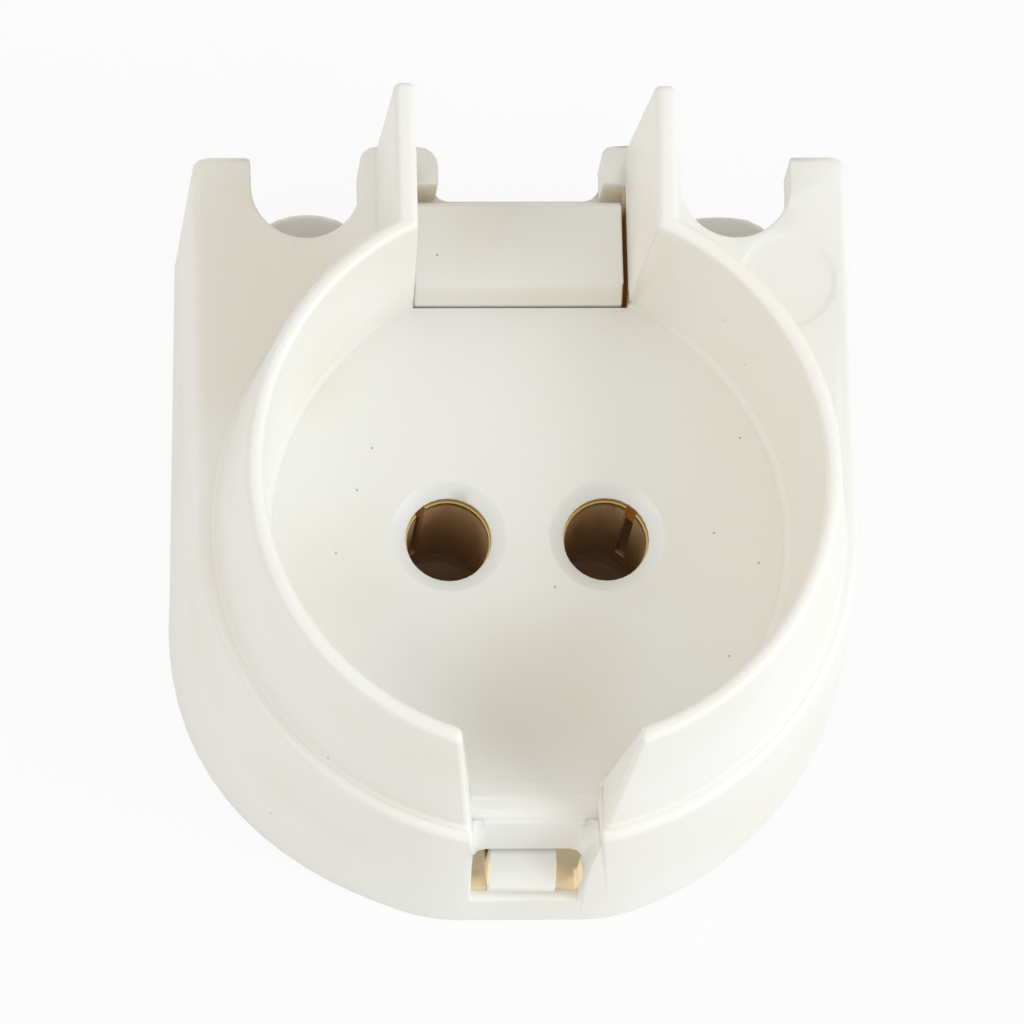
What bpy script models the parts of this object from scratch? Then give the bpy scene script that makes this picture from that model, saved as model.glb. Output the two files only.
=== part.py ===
"""Push-in holder for a 16 mm fluorescent tube with a two-pin cap.

The holder lies on its rear cover. The tube's axis is +Z, the two ears point to +Y,
and the origin is on the tube's axis at the rear face. Units are metres.
"""

import math

import bmesh
import bpy
from mathutils import Vector

MM = 0.001

# Lamp cap that the holder takes
PIN_SPACING = 4.75 * MM
TUBE_CAP_RADIUS = 8.0 * MM

# Heights above the rear face
PLATE_TOP = 8.0 * MM
PLATE_THICKNESS = 1.8 * MM
FLOOR_TOP = 7.35 * MM
RIM_TOP = 14.3 * MM

# Outline of the skirt: round bottom with a small flat, sides that draw in upwards,
# and a swell at the lower left that grows towards the rear
PLATE_LEDGE = 0.46 * MM
SKIRT_DRAFT = 0.41 * MM
SKIRT_SWELL = 0.47 * MM
SWELL_ANGLE = 28.0
SWELL_SPREAD = 45.0
FLAT_HALF_FRONT = 1.95 * MM
FLAT_HALF_REAR = 2.6 * MM
FLAT_CORNER = 5.0 * MM
SIDE_TAPER = 0.35 * MM
SIDE_POST_TOP = 11.83 * MM
SIDE_POST_DRAFT = 0.6 * MM
SIDE_POST_WIDTH = 1.75 * MM
SIDE_POST_CORNER = 0.4 * MM
SKIRT_WALL = 1.0 * MM
FRONT_EDGE_RADIUS = 0.25 * MM

# Posts and notches along the top edge of the front plate
EAR_POST_TOP = 12.12 * MM
EAR_POST_CORNER = 0.5 * MM
EAR_POST_INNER_CORNERS = (0.3 * MM, 0.6 * MM)
NOTCH_CENTRE_Y = 10.88 * MM
NOTCH_RADIUS = 1.65 * MM
NOTCH_LIP = 0.25 * MM
MIDDLE_NOTCH_HALF = 2.49 * MM
LUG_OPENING_HALF = 3.3 * MM
LUG_LOW_GAP = 0.22 * MM
LUG_OPENING_HIGH = 10.91 * MM

# Cup wall and ears
CUP_CLEARANCE_FLOOR = -0.07 * MM
CUP_CLEARANCE_RIM = 0.32 * MM
WALL_AT_RIM = 0.5 * MM
WALL_AT_PLATE = 1.49 * MM
RIM_RADIUS = 0.2 * MM
FLOOR_FILLET = 0.3 * MM
BASE_FILLET = 0.18 * MM
EAR_INNER_RIM = 3.57 * MM
EAR_INNER_BASE = 3.32 * MM
EAR_OUTER_RIM = 4.2 * MM
EAR_OUTER_BASE = 4.38 * MM
EAR_END_RIM = 11.95 * MM
EAR_END_BASE = 12.1 * MM
WALL_END_RADIUS = 0.22 * MM
WALL_SINK = 0.45 * MM
FILLET_FADE = 0.17

# Slot at the bottom of the cup, and the window behind it
SLOT_HALF_RIM = 2.6 * MM
SLOT_HALF_FLOOR = 1.93 * MM
SLOT_HALF_STRIP = 1.65 * MM
FLOOR_LIP = 0.87 * MM
SLOT_EDGE_RADIUS = 0.75 * MM
SLOT_CORNER_RADIUS = 0.45 * MM
SLOT_STEP = 0.03 * MM
STRIP_HEIGHT = 2.0 * MM
STRIP_WALL = 0.47 * MM
WINDOW_TOP = 3.87 * MM
SLOT_WALL = 0.9 * MM

# Pin holes and the guides below them
PIN_LIP_RADIUS = 1.3 * MM
PIN_FUNNEL_RADIUS = 1.735 * MM
PIN_FUNNEL_DEPTH = 0.38 * MM
PIN_LIP_DEPTH = 0.12 * MM
GUIDE_WALL = 0.5 * MM
GUIDE_LENGTH = 1.7 * MM
EJECTOR_MARK_X = 8.0 * MM
EJECTOR_MARK_Y = 7.85 * MM
EJECTOR_MARK_RADIUS = 1.5 * MM
EJECTOR_MARK_DEPTH = 0.05 * MM

# Clearances between neighbouring pieces
GAP = 0.3 * MM
SLIDE_GAP = 0.2 * MM
LUG_GAP_RIGHT = 0.4 * MM
LUG_GAP_LEFT = 0.22 * MM

# Rear cover
COVER_THICKNESS = 1.0 * MM
LUG_IN_CUP = 0.68 * MM
LUG_HIGH = 10.36 * MM
LUG_CHAMFER_DEPTH = 0.65 * MM
LUG_CHAMFER_WIDTH = 0.52 * MM
LUG_WALL = 0.8 * MM
SHOULDER_TIP = 11.95 * MM
SHOULDER_NOTCH_HALF = 2.55 * MM
SHOULDER_NOTCH_LOW = 11.07 * MM
SHOULDER_NOTCH_FILLET = 0.45 * MM
HOOD_Y = 8.76 * MM
HOOD_RADIUS = 2.4 * MM
HOOD_WALL = 0.55 * MM
HOOD_TOP = 4.5 * MM
HOOD_ROOF = 0.5 * MM
HOOD_EDGE = 0.15 * MM
HOOK_WIDTH = 2.05 * MM
HOOK_OFFSET = -0.1 * MM
HOOK_ARM = 0.65 * MM
HOOK_FOOT = 0.9 * MM
HOOK_REACH = 0.5 * MM
HOOK_CATCH_HEIGHT = 0.45 * MM
WIRE_HOLE_RADIUS = 0.6 * MM
WIRE_FUNNEL = 0.35 * MM
PIN_POCKET_RADIUS = 1.3 * MM
PIN_POCKET_DEPTH = 0.6 * MM

# Brass contacts
STRIP_METAL = 0.25 * MM
STRIP_WIDTH = 1.8 * MM
STRIP_BEND_Y = 4.6 * MM
STRIP_BEND_RADIUS = 1.4 * MM
SLEEVE_METAL = 0.18 * MM
SLEEVE_RADIUS = 1.42 * MM
SLEEVE_SLIT = 0.35 * MM
SLEEVE_SLIT_ANGLE = 50.0
SLEEVE_COLLAR = 0.6 * MM
SLEEVE_DROP = 0.15 * MM
FOOT_PAD_RADIUS = 1.75 * MM
TERMINAL_WIDTH = 2.0 * MM
TERMINAL_TOP_GAP = 0.35 * MM
TERMINAL_BEND = 0.3 * MM
WIRE_WINDOW_WIDTH = 1.3 * MM

# Wire springs
SPRING_METAL = 0.2 * MM
SPRING_WIDTH = 1.4 * MM
SPRING_BEND = 0.22 * MM
SPRING_FOOT = 0.5 * MM
SPRING_BITE = 0.35 * MM

# Facets
SIDE_ARC_STEPS = 16
CORNER_STEPS = 4
RING_STEPS = 30
CUP_SIDES = 72
NOTCH_STEPS = 24
HOLE_SIDES = 32
WIRE_HOLE_SIDES = 20
ROUND_STEPS = 3
LIP_STEPS = 6
BEND_STEPS = 4
SHARP_ANGLE = 30.0


def lerp(low, high, share):
    """Value between low and high."""
    return low + (high - low) * share


def arc(centre_x, centre_y, radius, start, end, steps):
    """Points on a circle from one angle to another, in degrees, ends included."""
    points = []
    for index in range(steps + 1):
        angle = math.radians(lerp(start, end, index / steps))
        points.append((centre_x + radius * math.cos(angle), centre_y + radius * math.sin(angle)))
    return points


def material(name, colour, roughness, metallic=0.0):
    """Principled material with one colour."""
    made = bpy.data.materials.new(name)
    made.use_nodes = True
    shader = made.node_tree.nodes["Principled BSDF"]
    shader.inputs["Base Color"].default_value = (*colour, 1.0)
    shader.inputs["Roughness"].default_value = roughness
    shader.inputs["Metallic"].default_value = metallic
    return made


def add_object(name, mesh):
    """Link a new object that holds the mesh."""
    made = bpy.data.objects.new(name, mesh)
    bpy.context.scene.collection.objects.link(made)
    return made


def mesh_from(name, bm):
    """Mesh data from a bmesh, with its faces pointing out."""
    bmesh.ops.recalc_face_normals(bm, faces=bm.faces)
    mesh = bpy.data.meshes.new(name)
    bm.to_mesh(mesh)
    bm.free()
    return mesh


def skin(name, loops):
    """Closed solid through a row of closed loops with equal point counts."""
    bm = bmesh.new()
    rows = [[bm.verts.new(point) for point in loop] for loop in loops]
    count = len(rows[0])
    for lower, upper in zip(rows, rows[1:]):
        for index in range(count):
            after = (index + 1) % count
            bm.faces.new((lower[index], lower[after], upper[after], upper[index]))
    bm.faces.new(rows[0][::-1])
    bm.faces.new(rows[-1])
    return add_object(name, mesh_from(name, bm))


def prism(name, outline, low, high):
    """Outline in XY extruded along Z."""
    loops = [[(x, y, height) for x, y in outline] for height in (low, high)]
    return skin(name, loops)


def side_prism(name, outline, left, right):
    """Outline in YZ extruded along X."""
    loops = [[(across, y, z) for y, z in outline] for across in (left, right)]
    return skin(name, loops)


def block(name, low, high):
    """Box between two corners."""
    outline = [(low[0], low[1]), (high[0], low[1]), (high[0], high[1]), (low[0], high[1])]
    return prism(name, outline, low[2], high[2])


def turned(name, profile, centre_x, centre_y, sides=HOLE_SIDES):
    """Solid of revolution about a vertical axis, from (radius, z) pairs."""
    loops = []
    for radius, height in profile:
        ring = arc(centre_x, centre_y, radius, 0.0, 360.0, sides)[:-1]
        loops.append([(x, y, height) for x, y in ring])
    return skin(name, loops)


def combine(target, tool, operation):
    """Apply one exact Boolean to the target and remove the tool."""
    modifier = target.modifiers.new("combine", "BOOLEAN")
    modifier.operation = operation
    modifier.solver = "EXACT"
    modifier.object = tool
    graph = bpy.context.evaluated_depsgraph_get()
    result = bpy.data.meshes.new_from_object(target.evaluated_get(graph))
    target.modifiers.clear()
    target.data = result
    bpy.data.objects.remove(tool)


def cut(target, tool):
    """Take the tool's volume away from the target."""
    combine(target, tool, "DIFFERENCE")


def join(target, tool):
    """Add the tool's volume to the target."""
    combine(target, tool, "UNION")


def rearness(height):
    """Share of the way from the plate's front face to the rear face."""
    return 1.0 - height / PLATE_TOP


def half_width(height):
    """Radius of the skirt's round bottom at a height, which is half its width."""
    front = wall_outer_radius(PLATE_TOP) + PLATE_LEDGE
    return front + SKIRT_DRAFT * rearness(height)


def swell(height, angle, side):
    """How far the skirt swells out at an angle below its side, in degrees."""
    share = (angle - SWELL_ANGLE) / SWELL_SPREAD
    if side > 0.0 or abs(share) > 1.0:
        return 0.0
    return SKIRT_SWELL * rearness(height) * math.cos(math.pi / 2 * share) ** 2


def side_x(height, y, side):
    """Distance of a straight side from the middle at a height and a place along it."""
    widest = half_width(height) + swell(height, 0.0, side)
    return widest - SIDE_TAPER * rearness(height) * y / SIDE_POST_TOP


def flat_depth(height):
    """Distance from the axis to the flat at the bottom, at a height."""
    flat_half = lerp(FLAT_HALF_REAR, FLAT_HALF_FRONT, height / PLATE_TOP)
    return math.sqrt(half_width(height) ** 2 - flat_half ** 2)


def bottom_arc(height, inset, side):
    """One half of the skirt's round bottom, from the flat up to the side."""
    low = flat_depth(height) - FLAT_CORNER
    middle = math.sqrt((half_width(height) - FLAT_CORNER) ** 2 - low ** 2)
    join_angle = math.degrees(math.atan2(low, middle))
    points = arc(middle, -low, FLAT_CORNER - inset, -90.0, -join_angle, CORNER_STEPS)[:-1]
    for index in range(SIDE_ARC_STEPS + 1):
        angle = join_angle * (1.0 - index / SIDE_ARC_STEPS)
        radius = half_width(height) + swell(height, angle, side) - inset
        turn = math.radians(angle)
        points.append((radius * math.cos(turn), -radius * math.sin(turn)))
    return points


def notch_x():
    """X of the centre of a round notch in the top edge."""
    return half_width(PLATE_TOP) - SIDE_POST_WIDTH - NOTCH_RADIUS


def skirt_half(height, inset, with_posts, side):
    """One half of the skirt's outline at a height, moved inwards by inset."""
    half = bottom_arc(height, inset, side)
    if with_posts:
        top = SIDE_POST_TOP - SIDE_POST_DRAFT * rearness(height) - inset
        corner = SIDE_POST_CORNER
        edge = side_x(height, top, side) - inset
        half += arc(edge - corner, top - corner, corner, 0.0, 90.0, ROUND_STEPS)
        raised = notch_x() - NOTCH_RADIUS / 2
        half += [(raised, top), (raised, EAR_POST_TOP + GAP - inset)]
    else:
        top = EAR_POST_TOP + SKIRT_WALL
        half += [(side_x(height, top, side) - inset, top)]
    return half


def both_halves(right, left):
    """Whole outline from a right half and a left half that is drawn as if it were right."""
    return right + [(-x, y) for x, y in reversed(left)]


def skirt_outline(height, inset, with_posts):
    """Outline of the skirt at a height, moved inwards by inset."""
    right = skirt_half(height, inset, with_posts, 1.0)
    return both_halves(right, skirt_half(height, inset, with_posts, -1.0))


def skirt_body():
    """Solid D-shaped body with a rounded front edge."""
    loops = []
    levels = [(0.0, 0.0)]
    for index in range(ROUND_STEPS + 1):
        angle = math.radians(90.0 * index / ROUND_STEPS)
        inset = FRONT_EDGE_RADIUS * (1 - math.cos(angle))
        levels.append((PLATE_TOP - FRONT_EDGE_RADIUS * (1 - math.sin(angle)), inset))
    for height, inset in levels:
        loops.append([(x, y, height) for x, y in skirt_outline(height, inset, True)])
    return skin("front_housing", loops)


def skirt_cavity():
    """Space inside the skirt, open at the rear and along the top edge."""
    underside = PLATE_TOP - PLATE_THICKNESS
    loops = []
    for height in (-SKIRT_WALL, underside):
        outline = skirt_outline(max(height, 0.0), SKIRT_WALL, False)
        loops.append([(x, y, height) for x, y in outline])
    return skin("cavity", loops)


def top_edge_half(inner_corner):
    """Half of the top edge's line: side post, round notch, ear post and middle notch."""
    lip = NOTCH_LIP
    outer = notch_x() + NOTCH_RADIUS
    inner = notch_x() - NOTCH_RADIUS
    half_post = (inner - MIDDLE_NOTCH_HALF) / 2
    corner = min(EAR_POST_CORNER, half_post)
    inner_corner = min(inner_corner, half_post)
    half = [(outer + lip, EAR_POST_TOP + 2 * SKIRT_WALL)]
    half += arc(outer + lip, SIDE_POST_TOP - lip, lip, 90.0, 180.0, ROUND_STEPS)
    half += arc(notch_x(), NOTCH_CENTRE_Y, NOTCH_RADIUS, 0.0, -180.0, NOTCH_STEPS)
    half += arc(inner - corner, EAR_POST_TOP - corner, corner, 0.0, 90.0, ROUND_STEPS + 1)
    middle = MIDDLE_NOTCH_HALF + inner_corner
    half += arc(middle, EAR_POST_TOP - inner_corner, inner_corner, 90.0, 180.0, ROUND_STEPS + 1)
    return half + [(MIDDLE_NOTCH_HALF, LUG_OPENING_HIGH - GAP)]


def top_edge_cutter():
    """Everything above the top edge: two round notches and the middle notch."""
    outline = both_halves(*[top_edge_half(corner) for corner in EAR_POST_INNER_CORNERS])
    return prism("top_edge", outline, PLATE_TOP - 2 * PLATE_THICKNESS, PLATE_TOP + SKIRT_WALL)


def cup_radius(height):
    """Inner radius of the cup at a height."""
    share = (height - FLOOR_TOP) / (RIM_TOP - FLOOR_TOP)
    return TUBE_CAP_RADIUS + lerp(CUP_CLEARANCE_FLOOR, CUP_CLEARANCE_RIM, share)


def wall_outer_radius(height):
    """Outer radius of the cup wall at a height."""
    share = (height - PLATE_TOP) / (RIM_TOP - PLATE_TOP)
    at_plate = cup_radius(PLATE_TOP) + WALL_AT_PLATE
    at_rim = cup_radius(RIM_TOP) + WALL_AT_RIM
    return lerp(at_plate, at_rim, share)


def ear_face(height, outside):
    """Distance from the middle to an ear's face at a height."""
    share = (height - PLATE_TOP) / (RIM_TOP - PLATE_TOP)
    if outside:
        return lerp(EAR_OUTER_BASE, EAR_OUTER_RIM, share)
    return lerp(EAR_INNER_BASE, EAR_INNER_RIM, share)


def mouth_half(height):
    """Half the gap between the cup wall's two ends at a height."""
    return lerp(SLOT_HALF_FLOOR, SLOT_HALF_RIM, (height - FLOOR_TOP) / (RIM_TOP - FLOOR_TOP))


def slot_half(height):
    """Half the slot's width in the skirt at a height."""
    share = (height - STRIP_HEIGHT) / (FLOOR_TOP - STRIP_HEIGHT)
    return lerp(SLOT_HALF_STRIP, SLOT_HALF_FLOOR, share) - SLOT_STEP


def wall_section():
    """Section of the cup wall as (outside, height, inset, flare) tuples.

    Inset moves a point into the wall. Flare says that it belongs to a fillet at the
    wall's foot, which only the round part of the wall has.
    """
    low = FLOOR_TOP - WALL_SINK
    fillet_angles = [math.radians(angle) for angle in (75.0, 50.0, 25.0, 0.0)]
    round_angles = [math.radians(90.0 * index / ROUND_STEPS) for index in range(ROUND_STEPS + 1)]
    section = [(False, low, -FLOOR_FILLET * (1 - math.cos(fillet_angles[0])), True)]
    for angle in fillet_angles:
        height = FLOOR_TOP + FLOOR_FILLET * (1 - math.sin(angle))
        section.append((False, height, -FLOOR_FILLET * (1 - math.cos(angle)), True))
    for angle in round_angles:
        height = RIM_TOP - RIM_RADIUS * (1 - math.sin(angle))
        section.append((False, height, RIM_RADIUS * (1 - math.cos(angle)), False))
    for angle in reversed(round_angles):
        height = RIM_TOP - RIM_RADIUS * (1 - math.sin(angle))
        section.append((True, height, RIM_RADIUS * (1 - math.cos(angle)), False))
    for angle in reversed(fillet_angles):
        height = PLATE_TOP + BASE_FILLET * (1 - math.sin(angle))
        section.append((True, height, -BASE_FILLET * (1 - math.cos(angle)), True))
    section.append((True, low, -BASE_FILLET * (1 - math.cos(fillet_angles[0])), True))
    return section


def wall_point(outside, height, inset, along, end_inset, end_advance):
    """One point of the cup wall.

    Along runs from 0 at the ear's tip through 1 at the ring to 2 at the slot.
    """
    total = max(inset, end_inset) if inset > 0.0 else inset + end_inset
    sign = -1.0 if outside else 1.0
    face = ear_face(height, outside) + sign * total
    radius = (wall_outer_radius(height) if outside else cup_radius(height)) + sign * total
    joint_y = math.sqrt(radius * radius - face * face)
    if along <= 1.0:
        share = max((height - PLATE_TOP) / (RIM_TOP - PLATE_TOP), 0.0)
        tip_y = lerp(EAR_END_BASE, EAR_END_RIM, share) - end_advance
        return (face, lerp(tip_y, joint_y, along), height)
    start = math.atan2(joint_y, face)
    stop = -math.acos((mouth_half(height) + end_advance) / radius)
    angle = lerp(start, stop, along - 1.0)
    return (radius * math.cos(angle), radius * math.sin(angle), height)


def cup_wall(side):
    """One half of the cup wall with its ear, from the ear's tip to the slot."""
    section = wall_section()
    end_round = arc(WALL_END_RADIUS, WALL_END_RADIUS, WALL_END_RADIUS, 180.0, 270.0, ROUND_STEPS)
    stations = [(0.0, inset, advance) for advance, inset in end_round]
    stations += [(1.0 + index / RING_STEPS, 0.0, 0.0) for index in range(RING_STEPS)]
    stations += [(2.0, inset, advance) for advance, inset in end_round[::-1]]
    loops = []
    for along, end_inset, end_advance in stations:
        on_ring = min(max((along - 1.0) / FILLET_FADE, 0.0), 1.0)
        loop = []
        for outside, height, inset, flare in section:
            kept = inset * on_ring if flare else inset
            top_drop = end_inset if height > RIM_TOP - 2 * RIM_RADIUS else 0.0
            point = wall_point(outside, height, kept, along, end_inset, end_advance)
            loop.append((side * point[0], point[1], point[2] - top_drop))
        loops.append(loop)
    return skin("cup_wall", loops)


def floor_end():
    """Distance from the axis to the end of the cup's floor in the slot."""
    return cup_radius(FLOOR_TOP) + FLOOR_LIP


def slot_cutter():
    """Slot through the skirt and plate down to the strip, with round inner corners."""
    outer = -half_width(0.0) - SKIRT_WALL
    radius = SLOT_CORNER_RADIUS
    loops = []
    for height in (STRIP_HEIGHT, PLATE_TOP + GAP):
        half = slot_half(height)
        right = [(half, outer)]
        right += arc(half - radius, -floor_end() - radius, radius, 0.0, 90.0, ROUND_STEPS)
        left = [(-x, y) for x, y in reversed(right)]
        loops.append([(x, y, height) for x, y in right + left])
    return skin("slot", loops)


def mouth_cutter():
    """Way from the cup over the floor's rounded end into the slot."""
    radius = SLOT_EDGE_RADIUS
    end = -floor_end()
    outer = end - SLOT_STEP
    inner = -cup_radius(FLOOR_TOP) + GAP
    outline = [(outer, FLOOR_TOP - radius)]
    outline += arc(end + radius, FLOOR_TOP - radius, radius, 180.0, 90.0, LIP_STEPS)
    outline += [(inner, FLOOR_TOP), (inner, PLATE_TOP + GAP)]
    outline += [(end - SKIRT_WALL, PLATE_TOP + GAP), (end - SKIRT_WALL, FLOOR_TOP), (outer, FLOOR_TOP)]
    loops = []
    for side in (-1.0, 1.0):
        loops.append([(side * (slot_half(z) + SLOT_STEP / 2), y, z) for y, z in outline])
    return skin("mouth", loops)


def window_cutter():
    """Window between the slot's inner wall and the strip, and the thinner strip."""
    half = slot_half(STRIP_HEIGHT)
    inner = -floor_end() + SLOT_WALL + GAP
    outer = -flat_depth(0.0) + STRIP_WALL
    return block("window", (-half, outer, -SKIRT_WALL), (half, inner, WINDOW_TOP))


def pin_hole_cutter(centre_x):
    """Funnel, lip and the wider bore that takes the brass sleeve."""
    bore = SLEEVE_RADIUS + SLIDE_GAP
    lip_top = FLOOR_TOP - PIN_FUNNEL_DEPTH
    lip_low = lip_top - PIN_LIP_DEPTH
    slope = (PIN_FUNNEL_RADIUS - PIN_LIP_RADIUS) / PIN_FUNNEL_DEPTH
    rise = GAP
    profile = [
        (bore, FLOOR_TOP - PLATE_THICKNESS - GUIDE_LENGTH - GAP),
        (bore, lip_low),
        (PIN_LIP_RADIUS, lip_low),
        (PIN_LIP_RADIUS, lip_top),
        (PIN_FUNNEL_RADIUS + slope * rise, FLOOR_TOP + rise),
    ]
    return turned("pin_hole", profile, centre_x, 0.0)


def lug_low():
    """Y of the lug's lower face, which stands a little way into the cup."""
    return cup_radius(FLOOR_TOP) - LUG_IN_CUP


def front_housing():
    """Front moulding: skirt, plate, cup, ears, slot, pin holes and inner guides."""
    underside = PLATE_TOP - PLATE_THICKNESS
    body = skirt_body()
    cut(body, skirt_cavity())
    inner_wall = block(
        "inner_wall",
        (-SLOT_HALF_RIM, -flat_depth(WINDOW_TOP) + SKIRT_WALL / 2, WINDOW_TOP),
        (SLOT_HALF_RIM, -floor_end() + SLOT_WALL, underside + GAP),
    )
    join(body, inner_wall)
    cut(body, window_cutter())
    recess = cup_radius(FLOOR_TOP) + FLOOR_FILLET
    cut(body, turned("recess", [(recess, FLOOR_TOP), (recess, PLATE_TOP + GAP)], 0.0, 0.0, CUP_SIDES))
    cut(body, slot_cutter())
    cut(body, mouth_cutter())
    cut(body, top_edge_cutter())
    opening = block(
        "opening",
        (-LUG_OPENING_HALF, lug_low() - LUG_LOW_GAP, underside - GAP),
        (LUG_OPENING_HALF, LUG_OPENING_HIGH, PLATE_TOP + GAP),
    )
    cut(body, opening)
    mark = [(EJECTOR_MARK_RADIUS, PLATE_TOP - EJECTOR_MARK_DEPTH), (EJECTOR_MARK_RADIUS, PLATE_TOP + GAP)]
    cut(body, turned("mark", mark, EJECTOR_MARK_X, EJECTOR_MARK_Y))
    for side in (1.0, -1.0):
        join(body, cup_wall(side))
    for side in (1.0, -1.0):
        guide_radius = SLEEVE_RADIUS + SLIDE_GAP + GUIDE_WALL
        guide = [(guide_radius, underside - GUIDE_LENGTH), (guide_radius, underside + GAP)]
        join(body, turned("guide", guide, side * PIN_SPACING / 2, 0.0))
        cut(body, pin_hole_cutter(side * PIN_SPACING / 2))
    return body


def ribbon(path, width):
    """Outline of a band of even width along a path."""
    points = [Vector(point) for point in path]
    left = []
    right = []
    for index, point in enumerate(points):
        arriving = point - points[index - 1] if index > 0 else points[1] - point
        leaving = points[index + 1] - point if index < len(points) - 1 else arriving
        along = (arriving.normalized() + leaving.normalized()).normalized()
        across = Vector((-along.y, along.x))
        straight = Vector((-arriving.y, arriving.x)).normalized()
        offset = across * (width / 2 / across.dot(straight))
        left.append(tuple(point + offset))
        right.append(tuple(point - offset))
    return left + right[::-1]


def rounded(path, radius):
    """Path with each inner corner replaced by an arc."""
    result = [path[0]]
    for before, corner, after in zip(path, path[1:], path[2:]):
        corner = Vector(corner)
        to_before = (Vector(before) - corner).normalized()
        to_after = (Vector(after) - corner).normalized()
        half = to_before.angle(to_after) / 2
        centre = corner + (to_before + to_after).normalized() * (radius / math.sin(half))
        arm = corner + to_before * (radius / math.tan(half)) - centre
        turn = math.copysign(math.pi - 2 * half, to_after.cross(to_before))
        for index in range(BEND_STEPS + 1):
            angle = turn * index / BEND_STEPS
            x = arm.x * math.cos(angle) - arm.y * math.sin(angle)
            y = arm.x * math.sin(angle) + arm.y * math.cos(angle)
            result.append((centre.x + x, centre.y + y))
    result.append(path[-1])
    return result


def chamber_radius():
    """Radius of the round space inside a terminal hood."""
    return HOOD_RADIUS - HOOD_WALL


def foot_low():
    """Underside of the contacts' foot strips."""
    return COVER_THICKNESS + GAP


def terminal_face():
    """Y of the terminal plate's inner face, which the wire is pressed against."""
    depth = math.sqrt((chamber_radius() - GAP) ** 2 - (TERMINAL_WIDTH / 2) ** 2)
    return HOOD_Y + depth - STRIP_METAL


def wire_y():
    """Y of the wire entry's centre, next to the terminal plate."""
    return terminal_face() - WIRE_HOLE_RADIUS


def hood_x():
    """X of a terminal hood's centre, beside the skirt's wall."""
    return side_x(HOOD_TOP, HOOD_Y, 1.0) - SKIRT_WALL - GAP - HOOD_RADIUS


def cover_half(height, side):
    """One half of the cover plate's outline at a height."""
    inset = SKIRT_WALL + GAP
    top = HOOD_Y + HOOD_RADIUS
    edge = side_x(height, top, side) - inset
    return bottom_arc(height, inset, side) + [(edge, top - HOOD_WALL), (edge - HOOD_WALL, top)]


def cover_plate():
    """Flat of the rear cover, inside the skirt."""
    loops = []
    for height in (0.0, COVER_THICKNESS):
        outline = both_halves(cover_half(height, 1.0), cover_half(height, -1.0))
        loops.append([(x, y, height) for x, y in outline])
    return skin("rear_cover", loops)


def hood(side):
    """Round terminal hood on the cover."""
    profile = [
        (HOOD_RADIUS, COVER_THICKNESS - GAP),
        (HOOD_RADIUS, HOOD_TOP - HOOD_EDGE),
        (HOOD_RADIUS - HOOD_EDGE, HOOD_TOP),
    ]
    return turned("hood", profile, side * hood_x(), HOOD_Y, HOLE_SIDES)


def hood_chamber(side):
    """Space for the terminal and its spring inside a hood."""
    radius = chamber_radius()
    profile = [(radius, COVER_THICKNESS), (radius, HOOD_TOP - HOOD_ROOF)]
    return turned("chamber", profile, side * hood_x(), HOOD_Y, HOLE_SIDES)


def strip_passage(side):
    """Low opening in a hood where the foot strip comes in."""
    half = STRIP_WIDTH / 2 + GAP
    return block(
        "passage",
        (side * hood_x() - half, HOOD_Y - HOOD_RADIUS - GAP, COVER_THICKNESS),
        (side * hood_x() + half, HOOD_Y, foot_low() + STRIP_METAL + GAP),
    )


def lug():
    """Wide lug that fills the opening between the ears, with a chamfered foot."""
    left = LUG_GAP_LEFT - LUG_OPENING_HALF
    right = LUG_OPENING_HALF - LUG_GAP_RIGHT
    low = lug_low()
    high = LUG_HIGH
    edge = FRONT_EDGE_RADIUS / 2
    outline = [
        (low, COVER_THICKNESS - GAP),
        (high, COVER_THICKNESS - GAP),
        (high, PLATE_TOP - edge),
        (high - edge, PLATE_TOP),
        (low + LUG_CHAMFER_WIDTH, PLATE_TOP),
        (low, PLATE_TOP - LUG_CHAMFER_DEPTH),
    ]
    return side_prism("lug", outline, left, right)


def lug_pocket():
    """Moulding pocket in the lug, open at the rear face."""
    half = LUG_OPENING_HALF - LUG_GAP_RIGHT - LUG_WALL
    return block(
        "lug_pocket",
        (-half, lug_low() + LUG_WALL, -GAP),
        (half, LUG_HIGH - LUG_WALL, PLATE_TOP - LUG_WALL - GAP),
    )


def shoulders():
    """Rear shoulders behind the ears, with the filleted middle notch."""
    fillet = SHOULDER_NOTCH_FILLET
    corner = EAR_POST_CORNER
    edge = SHOULDER_NOTCH_HALF
    half = hood_x() - HOOD_RADIUS + HOOD_WALL
    right = [(half, lug_low()), (half, SHOULDER_TIP)]
    right += arc(edge + corner, SHOULDER_TIP - corner, corner, 90.0, 180.0, ROUND_STEPS)
    right += arc(edge - fillet, SHOULDER_NOTCH_LOW + fillet, fillet, 0.0, -90.0, ROUND_STEPS)
    left = [(-x, y) for x, y in reversed(right)]
    top = PLATE_TOP - PLATE_THICKNESS - GAP
    return prism("shoulders", right + left, COVER_THICKNESS - GAP, top)


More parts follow.
